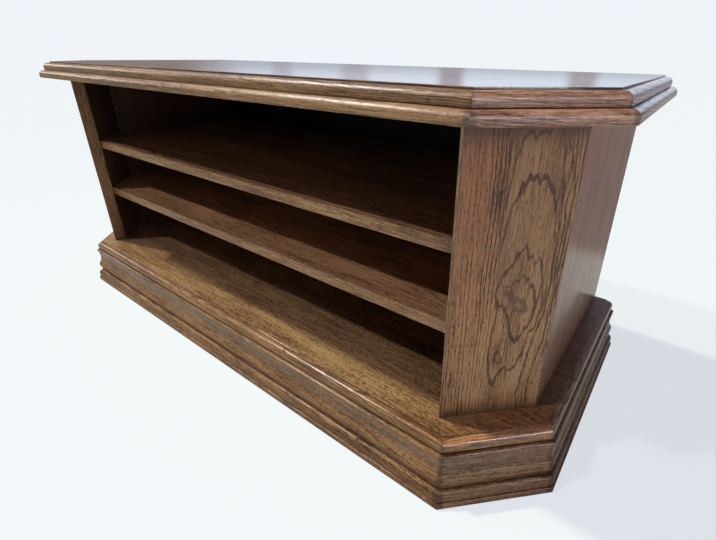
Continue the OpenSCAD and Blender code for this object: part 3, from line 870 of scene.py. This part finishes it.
def edge_woods(look, label, z, seed):
    """A board of its own for each mitred length."""
    woods, ring, corners = {}, EDGE_LOOKS[label], outline(0.0)
    for i, edge in enumerate(ALONG):
        start, end = corners[i] + Vector((0, 0, z)), corners[i + 1] + Vector((0, 0, z))
        woods[edge] = oak_material(
            f"oak_{label}_{edge}", look, GRAIN[edge], (start + end) / 2, heart=(25.0, -38.0 - 6.0 * i),
            taper=0.035, seed=seed + i, ring=2.8, level=ring["level"].get(edge, 1.0),
            gloss=ring["gloss"].get(edge, EDGE_GLOSS), coat=1.0, fleck=ring.get("fleck", EDGE_FLECK),
            dull=ring.get("dull"), ends=(end - start).length * MM_PER_M / 2)
    return woods


# Light, and what the lacquer mirrors

# For each lamp: name, whether it lights things, whether it shows in the lacquer, place, aim, width and
# height, power and colour
AREA_LAMPS = (
    ("right_window", True, True, (3.3, -1.1, 1.2), (0.6, -0.2, 0.4), (1.2, 2.0), 11.0, (0.96, 0.95, 1.0)),
    ("left_lamp", True, False, (-1.19, -0.54, 2.26), (0.3, -0.25, 0.4), (0.4, 0.4), 9.0, (1.0, 0.98, 0.95)),
    ("left_window", False, True, (-1.07, -0.95, 2.15), (0.3, -0.25, 0.4), (1.3, 0.24), 44.0,
     (1.0, 0.97, 0.9)),
    ("far_left_window", False, True, (-3.04, -0.87, 1.4), (-0.4, -0.27, 0.3), (0.9, 0.4), 6.5,
     (1.0, 0.96, 0.88)),
    ("right_strip", False, True, (2.93, -1.25, 1.58), (0.56, -0.18, 0.11), (1.5, 0.3), 25.0,
     (1.0, 0.93, 0.93)),
)
# What the lacquer mirrors of the floor, from beside the cabinet's front back through the room
FLOOR_ROOM = (
    (0.0, (0.3, 0.29, 0.3)), (0.05, (0.4, 0.39, 0.39)), (0.09, (0.56, 0.55, 0.54)),
    (0.138, (0.6, 0.585, 0.57)), (0.15, (0.165, 0.088, 0.12)), (0.45, (0.165, 0.088, 0.12)),
    (0.68, (0.32, 0.26, 0.34)),
)
FLOOR_ROOM_START, FLOOR_ROOM_DEPTH = -0.4, 8.0
FLOOR_TONES = {"matt": (0.8, 0.83, 0.88, 1.0), "left": (0.17, 0.115, 0.06), "right": (0.85, 0.83, 0.88)}
FLOOR_PALE_SHARE, FLOOR_MIRROR_SHARE = 0.78, 0.8
# What it mirrors round the room
ROOM_TONES = {
    "front": (0.12, 0.11, 0.12),
    "left_wall": (0.24, 0.2, 0.19),
    "window": (0.86, 0.97, 1.14),
    "bar": (0.3, 0.25, 0.29),
    "right_wall": (0.25, 0.22, 0.29),
    "ceiling": (0.28, 0.26, 0.31),
}
# The window wall's bars: middle and half width, as sines of the turn from straight back, and share
WINDOW_BARS = ((-0.48, 0.035, 0.75), (-0.225, 0.04, 0.7), (-0.655, 0.035, 0.45), (-0.765, 0.02, 0.4))


def add_lamp(name, kind, towards, power, colour, lights, shows, **settings):
    """A lamp that stands towards a direction and shines back from there."""
    lamp = bpy.data.lights.new(name, kind)
    lamp.energy, lamp.color = power, colour
    for key, value in settings.items():
        setattr(lamp, key, value)
    holder = placed(name, lamp)
    holder.rotation_euler = Vector(towards).to_track_quat("Z", "Y").to_euler()
    holder.visible_diffuse, holder.visible_glossy = lights, shows
    return holder


def add_sun(name, towards, strength, colour, angle):
    add_lamp(name, "SUN", towards, strength, colour, True, False, angle=math.radians(angle))


def lay_floor(studio):
    """A pale floor to the camera, matt to the light, and a dim room to the lacquer."""
    made = bmesh.new()
    bmesh.ops.create_grid(made, x_segments=2, y_segments=2, size=30.0)
    floor = placed("floor", mesh_of(made, "floor"))
    material, nodes = new_material("pale_floor")
    x, y, _ = nodes.split(nodes.add("ShaderNodeTexCoord", out="Object"))
    matt = nodes.add("ShaderNodeBsdfDiffuse", {}, [FLOOR_TONES["matt"]])
    pale = nodes.add("ShaderNodeEmission", {}, [(*studio.floor, 1.0), 1.0])
    back = (y - FLOOR_ROOM_START) / FLOOR_ROOM_DEPTH
    room = nodes.add("ShaderNodeValToRGB", {"stops": FLOOR_ROOM}, [back])
    room = nodes.mix(room, FLOOR_TONES["left"], 1.0 - nodes.smooth(x, -1.9, -0.9))
    beside = nodes.smooth(x, 0.75, 1.3) * (1.0 - nodes.smooth(y, 0.1, 0.5))
    seen = nodes.add("ShaderNodeEmission", {}, [nodes.mix(room, FLOOR_TONES["right"], beside), 1.0])
    camera = nodes.shows_to("Camera") * FLOOR_PALE_SHARE
    glossy = nodes.shows_to("Glossy") * FLOOR_MIRROR_SHARE
    shader = nodes.add("ShaderNodeMixShader", {}, [camera, matt, pale])
    shader = nodes.add("ShaderNodeMixShader", {}, [glossy, shader, seen])
    nodes.add("ShaderNodeOutputMaterial", {}, [shader])
    dress(floor.data, material)


def light_world(scene, studio):
    """An even light, a pale backdrop to the camera, and a room with a window wall to the lacquer."""
    world = scene.world or bpy.data.worlds.new("studio")
    scene.world = world
    world.use_nodes = True
    nodes = Nodes(world.node_tree)
    x, y, z = nodes.split(nodes.add("ShaderNodeTexCoord", out="Generated"))
    turn = x / (x * x + y * y).sqrt()
    white = nodes.mix((0.0, 0.0, 0.0), ROOM_TONES["window"], 0.5 + nodes.smooth(z, 0.022, 0.06) * 0.5)
    wall = nodes.mix(ROOM_TONES["left_wall"], white, nodes.smooth(turn, -0.89, -0.8))
    for middle, width, share in WINDOW_BARS:
        bar = 1.0 - nodes.smooth((turn - middle).abs(), width * 0.3, width)
        wall = nodes.mix(wall, ROOM_TONES["bar"], bar * share)
    wall = nodes.mix(wall, ROOM_TONES["right_wall"], nodes.smooth(turn, 0.08, 0.16))
    around = nodes.mix(ROOM_TONES["front"], wall, nodes.smooth(y, -0.1, 0.12))
    around = nodes.mix(around, ROOM_TONES["ceiling"], nodes.smooth(z, 0.25, 0.55))
    even = nodes.add("ShaderNodeBackground", {}, [(0.75, 0.83, 1.0, 1.0), studio.ambient])
    mirror = nodes.add("ShaderNodeBackground", {}, [around, 1.0])
    pale = nodes.add("ShaderNodeBackground", {}, [(*studio.background, 1.0), 1.0])
    shader = nodes.add("ShaderNodeMixShader", {}, [nodes.shows_to("Glossy"), even, mirror])
    shader = nodes.add("ShaderNodeMixShader", {}, [nodes.shows_to("Camera"), shader, pale])
    nodes.add("ShaderNodeOutputWorld", {}, [shader])


# Operators: one for each piece or group of like pieces

class CabinetOperator:
    bl_options = {"REGISTER", "UNDO"}


class CABINET_OT_camera(CabinetOperator, bpy.types.Operator):
    """Place the camera at the photograph's viewing angle"""
    bl_idname = "cabinet.camera"
    bl_label = "Camera"

    def execute(self, context):
        studio = context.scene.cabinet_studio
        ahead, right = Vector(studio.camera_look).normalized(), Vector(studio.camera_right)
        right = (right - right.dot(ahead) * ahead).normalized()
        turn = Matrix((right, right.cross(ahead), -ahead)).transposed().to_4x4()
        camera = placed("camera", bpy.data.cameras.new("camera"))
        camera.matrix_world = Matrix.Translation(studio.camera_at) @ turn
        camera.data.sensor_width = SENSOR_MM
        camera.data.lens = studio.lens
        camera.data.shift_x, camera.data.shift_y = studio.shift
        camera.data.clip_start, camera.data.clip_end = 0.01, 60.0
        context.scene.camera = camera
        return {"FINISHED"}


class CABINET_OT_stage(CabinetOperator, bpy.types.Operator):
    """Lay the pale floor and set the lamps and the even light"""
    bl_idname = "cabinet.stage"
    bl_label = "Stage and Light"

    def execute(self, context):
        scene, studio = context.scene, context.scene.cabinet_studio
        scene.view_settings.view_transform = "Standard"
        lay_floor(studio)
        light_world(scene, studio)
        add_sun("key_light", (-0.61, -0.163, 1.0), studio.key, (0.95, 0.98, 0.68), 2.5)
        add_sun("second_light", (-0.52, -0.57, 1.0), studio.second, (1.0, 0.95, 0.88), 3.0)
        for name, lights, shows, place, aim, (width, height), power, colour in AREA_LAMPS:
            lamp = add_lamp(name, "AREA", Vector(place) - Vector(aim), power, colour, lights, shows,
                            shape="RECTANGLE", size=width, size_y=height)
            lamp.location = place
        return {"FINISHED"}


class CABINET_OT_boards(CabinetOperator, bpy.types.Operator):
    """Make the top board, the board under it and the base board"""
    bl_idname = "cabinet.boards"
    bl_label = "Top and Base Boards"

    def execute(self, context):
        s, look = context.scene.cabinet_sizes, context.scene.cabinet_oak
        edge = outline(-s.lip_width)
        # The boards' edges above their nosings are painted darker
        riser = (s.nose_height * MM_PER_M - 0.5, (BODY_Z - BASE_Z) * MM_PER_M)
        top = oak_material("oak_top_board", look, GRAIN["front"], (0.0, GRAIN_Y, TOP_Z),
                           heart=(-170.0, -150.0), taper=0.02, seed=1.0, gloss=0.05, coat=1.0,
                           riser=riser, worn=0.12)
        # The base board's right end is painted darker and redder as shade
        base = oak_material("oak_base_board", look, GRAIN["front"], (0.0, GRAIN_Y, BASE_Z),
                            heart=(-900.0, -500.0), taper=0.01, level=(1.02, 1.04, 1.0), seed=2.0, ring=2.6,
                            bold=1.2, fleck=2.0, riser=riser, ruddy=(430.0, 600.0))
        show("board_top", board(edge, TOP_Z, high("top_board").z, s.arris), top, "oak_board", "top_board")
        show("board_base", board(edge, BASE_Z, BODY_Z, s.arris), base, "oak_board", "base_board")
        dress(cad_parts["subtop_board"].data, top)
        return {"FINISHED"}


class CABINET_OT_nosings(CabinetOperator, bpy.types.Operator):
    """Run the rounded nosing strips round the top and base boards"""
    bl_idname = "cabinet.nosings"
    bl_label = "Nosings"

    def execute(self, context):
        s, look = context.scene.cabinet_sizes, context.scene.cabinet_oak
        for label, z, nodes, seed in (("nosing_top", TOP_Z, "top_lipping", 11.0),
                                      ("nosing_base", BASE_Z, "base_lipping", 21.0)):
            run_mouldings(label, nosing_section(s), z, edge_woods(look, label, z, seed), nodes)
        return {"FINISHED"}


class CABINET_OT_top_moulding(CabinetOperator, bpy.types.Operator):
    """Run the lower tier's moulding under the top board"""
    bl_idname = "cabinet.top_moulding"
    bl_label = "Lower Tier"

    def execute(self, context):
        s, look = context.scene.cabinet_sizes, context.scene.cabinet_oak
        woods = edge_woods(look, "tier", SUBTOP_Z, 31.0)
        run_mouldings("tier", moulding_section(s), SUBTOP_Z, woods, "top_moulding")
        return {"FINISHED"}


class CABINET_OT_skirting(CabinetOperator, bpy.types.Operator):
    """Run the moulded skirting round the plinth"""
    bl_idname = "cabinet.skirting"
    bl_label = "Skirting"

    def execute(self, context):
        s, look = context.scene.cabinet_sizes, context.scene.cabinet_oak
        woods = edge_woods(look, "plinth", 0.0, 41.0)
        run_mouldings("plinth", skirting_section(s), 0.0, woods, "skirting")
        return {"FINISHED"}


class CABINET_OT_uprights(CabinetOperator, bpy.types.Operator):
    """Make the side and cant panels and the solid strips on the jambs"""
    bl_idname = "cabinet.uprights"
    bl_label = "Uprights"

    def execute(self, context):
        s, look = context.scene.cabinet_sizes, context.scene.cabinet_oak
        front, back = CARCASS_FRONT, PANEL_BACK
        rebate, rebate_y = HALF_W - PANEL_T / 2, low("back_panel").y
        lip = high("jamb_lipping_right").x - JAMB_X
        lip_front, lip_back = (JAMB_X + lip, front + lip), (JAMB_X + lip, front + CANT_DEPTH + lip)
        outer_knee, inner_knee = (HALF_W, front + CANT), (INNER, KNEE)
        side = [outer_knee, (HALF_W, back), (rebate, back), (rebate, rebate_y), (INNER, rebate_y), inner_knee]
        cant = [lip_front, outer_knee, inner_knee, lip_back]
        jamb = [(JAMB_X, front), lip_front, lip_back, (JAMB_X, front + CANT_DEPTH)]
        for name, sign, side_level in (("left", -1, (0.96, 0.88, 0.82)), ("right", 1, (0.98, 0.76, 0.78))):
            corner = (sign * JAMB_X, front, BODY_Z)
            for kind, plan, arris, wood, slot, node in (
                    ("panel_side", side, s.arris, self.side_wood(look, name, sign, side_level),
                     "oak_board", "side_panel"),
                    ("panel_cant", cant, s.arris / 2, self.cant_wood(look, name, corner),
                     "oak_board", "cant_panel"),
                    ("strip_jamb", jamb, s.jamb_arris, self.jamb_wood(look, name, sign, corner),
                     "oak_moulding", "jamb_lipping")):
                mesh = board(mirrored(plan, sign), BODY_Z, SUBTOP_Z, arris)
                if (kind, name) == ("panel_cant", "right"):
                    figured_panel(mesh, Vector(corner), Vector((ROOT_HALF, ROOT_HALF, 0.0)))
                show(f"{kind}_{name}", mesh, wood, slot, f"{node}_{name}")
        return {"FINISHED"}

    def side_wood(self, look, name, sign, level):
        # Painted shade: the inside face is darkened nearly to the pores' colour
        return oak_material(f"oak_side_{name}", look, UPRIGHT["side_right"], (sign * HALF_W, 0.0, 0.3),
                            heart=(700.0, -300.0), taper=0.01, seed=61.0 + sign, ring=2.6, level=level,
                            bold=1.3, fleck=1.1, worn=0.65, inner_shade=(12.0, 0.86, look.pore))

    def cant_wood(self, look, name, corner):
        if name == "right":
            return figured_oak("oak_cant_right", look, UPRIGHT["cant_right"], corner)
        # Painted shade on the inside face here too
        return oak_material("oak_cant_left", look, UPRIGHT["cant_left"], corner, heart=(60.0, -30.0),
                            taper=0.05, seed=52.0, inner_shade=(12.0, 0.72, look.pore))

    def jamb_wood(self, look, name, sign, corner):
        return oak_material(f"oak_jamb_{name}", look, UPRIGHT["side_right"], corner, heart=(90.0, -120.0),
                            taper=0.01, seed=71.0 + sign, level=1.2, ring=2.2)


class CABINET_OT_shelves(CabinetOperator, bpy.types.Operator):
    """Make both shelves with the solid strips on their front edges"""
    bl_idname = "cabinet.shelves"
    bl_label = "Shelves"

    def execute(self, context):
        s, look = context.scene.cabinet_sizes, context.scene.cabinet_oak
        slope = JAMB_X - CANT_DEPTH - CARCASS_FRONT
        for name, seed, lip_level in (("upper", 81.0, (1.32, 1.32, 1.3)),
                                      ("lower", 86.0, (1.46, 1.44, 1.46))):
            node = f"{name}_shelf"
            bottom, top = low(node).z, high(node).z
            wood = oak_material(f"oak_{node}", look, GRAIN["front"], (0.0, GRAIN_Y, bottom),
                                heart=(-260.0, -240.0), taper=0.015, seed=seed, ring=3.0,
                                level=(1.5, 1.46, 1.42), fleck=1.0)
            lip = oak_material(f"oak_{node}_strip", look, GRAIN["front"], (0.0, CARCASS_FRONT, bottom),
                               heart=(-40.0, -60.0), taper=0.02, level=lip_level, seed=seed + 2.0,
                               ring=2.6, fleck=1.0, coat=0.3)
            front, joint, back = low(f"{node}_lipping").y, low(node).y, high(node).y
            plan = [(slope + joint, joint), (INNER, KNEE), (INNER, back)]
            strip = [(slope + front, front), (slope + joint, joint)]
            show(f"shelf_{name}", board(plan + mirrored(plan[::-1], -1), bottom, top, s.arris / 2), wood,
                 "oak_board", node)
            show(f"strip_{name}", board(strip + mirrored(strip[::-1], -1), bottom, top, s.arris), lip,
                 "oak_moulding", f"{node}_lipping")
        return {"FINISHED"}


class CABINET_OT_hidden(CabinetOperator, bpy.types.Operator):
    """Finish the back panel, the plinth's frame, the blocks, dowels, tongues and biscuits"""
    bl_idname = "cabinet.hidden"
    bl_label = "Back and Plinth Frame"

    def execute(self, context):
        look = context.scene.cabinet_oak
        deal, deal_dark = (0.62, 0.43, 0.24), (0.45, 0.27, 0.12)
        # Painted shade: the back panel's face towards the inside is nearly black
        back = oak_material("oak_back_panel", look, UPRIGHT["front"], (0.0, PANEL_BACK, BODY_Z),
                            heart=(-300.0, -200.0), taper=0.02, level=0.7, seed=91.0, gloss=0.5, coat=0.1,
                            inner_shade=(0.5, 0.96, (0.004, 0.004, 0.005)))
        deal_x = bare_wood("deal_along", deal, deal_dark, 0.7, GRAIN["front"])
        deal_y = bare_wood("deal_across", deal, deal_dark, 0.7, GRAIN["side_left"])
        beech = bare_wood("beech", (0.62, 0.42, 0.26), (0.5, 0.31, 0.17), 0.55, UPRIGHT["side_right"], 0.3)
        for material, nodes in (
                (back, ("back_panel",)),
                (deal_x, ("plinth_back_rail",)),
                (deal_y, ("glue_blocks", "bearer_left", "bearer_middle", "bearer_right")),
                (beech, ("skirting_biscuits", "bearer_dowels", "panel_tongues", "upper_shelf_dowels",
                         "lower_shelf_dowels", "top_dowels"))):
            for node in nodes:
                dress(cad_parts[node].data, material)
        return {"FINISHED"}


class CABINET_OT_screws(CabinetOperator, bpy.types.Operator):
    """Set the countersunk screws under the plinth and the top, and the pan heads in the back"""
    bl_idname = "cabinet.screws"
    bl_label = "Screws"

    def execute(self, context):
        s, zinc, tree = context.scene.cabinet_sizes, zinc_material(), screw_tree()
        head, pan, rise = s.screw_head / 2, s.pan_head / 2, s.pan_height
        sunk = [(head * 0.97, 0.0), (head, head * 0.06)]
        domed = [(pan * 0.62, 0.0), (pan * 0.82, rise * 0.12), (pan * 0.94, rise * 0.38),
                 (pan, rise * 0.75), (pan, rise)]
        for seed, (node, aim) in enumerate((("base_screws", (0, 0, 1)), ("top_screws", (0, 0, 1)),
                                            ("back_panel_screws", (0, -1, 0)))):
            aim, boxes = Vector(aim), screw_places(node)
            length = max(abs((far - near).dot(aim)) for near, far in boxes)
            if aim.z:
                profile = sunk + threaded(s.screw_shank, head - s.screw_shank / 2, length)
                drive = s.screw_head * s.recess
            else:
                profile = domed + threaded(s.pan_shank, rise, length)
                drive = s.pan_head * s.recess
            screw = placed("screw", screw_mesh(profile, drive))
            mesh = run_tree(self.aimed_points(node, aim, boxes), tree,
                            {"Screw": screw, "Plating": zinc, "Seed": seed}, node)
            bpy.data.objects.remove(screw)
            show(f"set_of_{node}", mesh, None, "zinc_screws", node)
        return {"FINISHED"}

    def aimed_points(self, node, aim, boxes):
        """A point at each screw's head, with the way that the screw goes in."""
        places = bpy.data.meshes.new("places")
        heads = [(near + far) / 2 - aim * abs((far - near).dot(aim)) / 2 for near, far in boxes]
        places.from_pydata(heads, [], [])
        for item in places.attributes.new("aim", "FLOAT_VECTOR", "POINT").data:
            item.vector = aim
        return placed(f"{node}_set", places)


class CABINET_PT_panel(bpy.types.Panel):
    """Lists the cabinet's pieces and its main sizes"""
    bl_idname = "CABINET_PT_panel"
    bl_label = "Low Cabinet"
    bl_space_type = "VIEW_3D"
    bl_region_type = "UI"
    bl_category = "Cabinet"

    def draw(self, context):
        column = self.layout.column(align=True)
        for operator in OPERATORS:
            column.operator(operator.bl_idname)
        for name, kind in GROUPS.items():
            for field in kind.__annotations__:
                self.layout.prop(getattr(context.scene, name), field)


GROUPS = {"cabinet_sizes": CabinetSizes, "cabinet_oak": OakFinish, "cabinet_studio": StudioSetup}
OPERATORS = (CABINET_OT_camera, CABINET_OT_stage, CABINET_OT_boards, CABINET_OT_nosings,
             CABINET_OT_top_moulding, CABINET_OT_skirting, CABINET_OT_uprights, CABINET_OT_shelves,
             CABINET_OT_hidden, CABINET_OT_screws)
CLASSES = (*GROUPS.values(), *OPERATORS, CABINET_PT_panel)


def register():
    for kind in CLASSES:
        bpy.utils.register_class(kind)
    for name, kind in GROUPS.items():
        setattr(bpy.types.Scene, name, PointerProperty(type=kind))


def unregister():
    for name in GROUPS:
        delattr(bpy.types.Scene, name)
    for kind in reversed(CLASSES):
        bpy.utils.unregister_class(kind)


def main():
    register()
    for operator in OPERATORS:
        group, name = operator.bl_idname.split(".")
        getattr(getattr(bpy.ops, group), name)()


if __name__ == "__main__":
    main()
